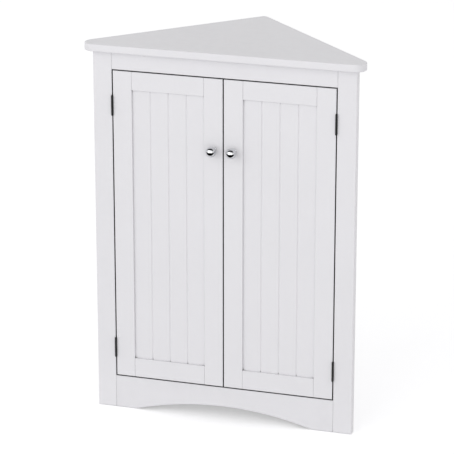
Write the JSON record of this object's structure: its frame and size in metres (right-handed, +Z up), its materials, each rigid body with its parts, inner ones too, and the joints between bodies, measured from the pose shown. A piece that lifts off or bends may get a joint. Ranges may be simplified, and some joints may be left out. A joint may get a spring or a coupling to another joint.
{
  "type": "corner cupboard",
  "caption": "Low painted corner cupboard with a three-cornered top, an arched apron, a pair of boarded doors on butt hinges and shelves inside.",
  "frame": {"origin": "middle of the whole box in X and Y, on the floor", "axes": "+Z up, the doors face -Y, the right-angled wall corner points to +Y, +X is to the right of someone who faces the doors"},
  "size_m": [0.5912, 0.332, 0.8],
  "materials": {
    "white_paint": "satin white paint on fibreboard",
    "white_inside_board": "matt white melamine-faced board",
    "chrome": "polished chrome plate",
    "black_steel": "black coated steel",
    "zinc_steel": "zinc plated steel",
    "white_plastic": "moulded white plastic"
  },
  "bodies": {
    "carcass": {"apron": "white_paint", "bottom_board": "white_inside_board", "fixed_shelf": "white_inside_board", "left_back_shelf_pin": "zinc_steel", "left_front_shelf_pin": "zinc_steel", "left_lower_hinge_frame_bottom_screw": "black_steel", "left_lower_hinge_frame_leaf": "black_steel", "left_lower_hinge_frame_top_screw": "black_steel", "left_lower_hinge_pin": "black_steel", "left_post": "white_paint", "left_side_panel": "white_paint", "left_upper_hinge_frame_bottom_screw": "black_steel", "left_upper_hinge_frame_leaf": "black_steel", "left_upper_hinge_frame_top_screw": "black_steel", "left_upper_hinge_pin": "black_steel", "magnetic_catch": "white_plastic", "right_back_shelf_pin": "zinc_steel", "right_front_shelf_pin": "zinc_steel", "right_lower_hinge_frame_bottom_screw": "black_steel", "right_lower_hinge_frame_leaf": "black_steel", "right_lower_hinge_frame_top_screw": "black_steel", "right_lower_hinge_pin": "black_steel", "right_post": "white_paint", "right_side_panel": "white_paint", "right_upper_hinge_frame_bottom_screw": "black_steel", "right_upper_hinge_frame_leaf": "black_steel", "right_upper_hinge_frame_top_screw": "black_steel", "right_upper_hinge_pin": "black_steel", "top_board": "white_paint", "top_rail": "white_paint"},
    "left_door": {"left_door_bottom_rail": "white_paint", "left_door_hinge_stile": "white_paint", "left_door_meeting_stile": "white_paint", "left_door_panel": "white_paint", "left_door_top_rail": "white_paint", "left_knob": "chrome", "left_knob_screw": "zinc_steel", "left_lower_hinge_door_bottom_screw": "black_steel", "left_lower_hinge_door_leaf": "black_steel", "left_lower_hinge_door_top_screw": "black_steel", "left_strike_plate": "zinc_steel", "left_upper_hinge_door_bottom_screw": "black_steel", "left_upper_hinge_door_leaf": "black_steel", "left_upper_hinge_door_top_screw": "black_steel"},
    "right_door": {"right_door_bottom_rail": "white_paint", "right_door_hinge_stile": "white_paint", "right_door_meeting_stile": "white_paint", "right_door_panel": "white_paint", "right_door_top_rail": "white_paint", "right_knob": "chrome", "right_knob_screw": "zinc_steel", "right_lower_hinge_door_bottom_screw": "black_steel", "right_lower_hinge_door_leaf": "black_steel", "right_lower_hinge_door_top_screw": "black_steel", "right_strike_plate": "zinc_steel", "right_upper_hinge_door_bottom_screw": "black_steel", "right_upper_hinge_door_leaf": "black_steel", "right_upper_hinge_door_top_screw": "black_steel"},
    "adjustable_shelf": {"adjustable_shelf": "white_inside_board"}
  },
  "joints": [
    {"name": "left_door_hinge", "type": "hinge", "parent": "carcass", "child": "left_door", "pos_m": [-0.2367, -0.14103, 0.4], "axis": [0, 0, -1], "range_deg": [0, 180]},
    {"name": "right_door_hinge", "type": "hinge", "parent": "carcass", "child": "right_door", "pos_m": [0.2367, -0.14103, 0.4], "axis": [0, 0, 1], "range_deg": [0, 180]},
    {"name": "adjustable_shelf_lift", "type": "slide", "parent": "carcass", "child": "adjustable_shelf", "axis": [0, 0, 1], "range_m": [0, 0.032]}
  ]
}
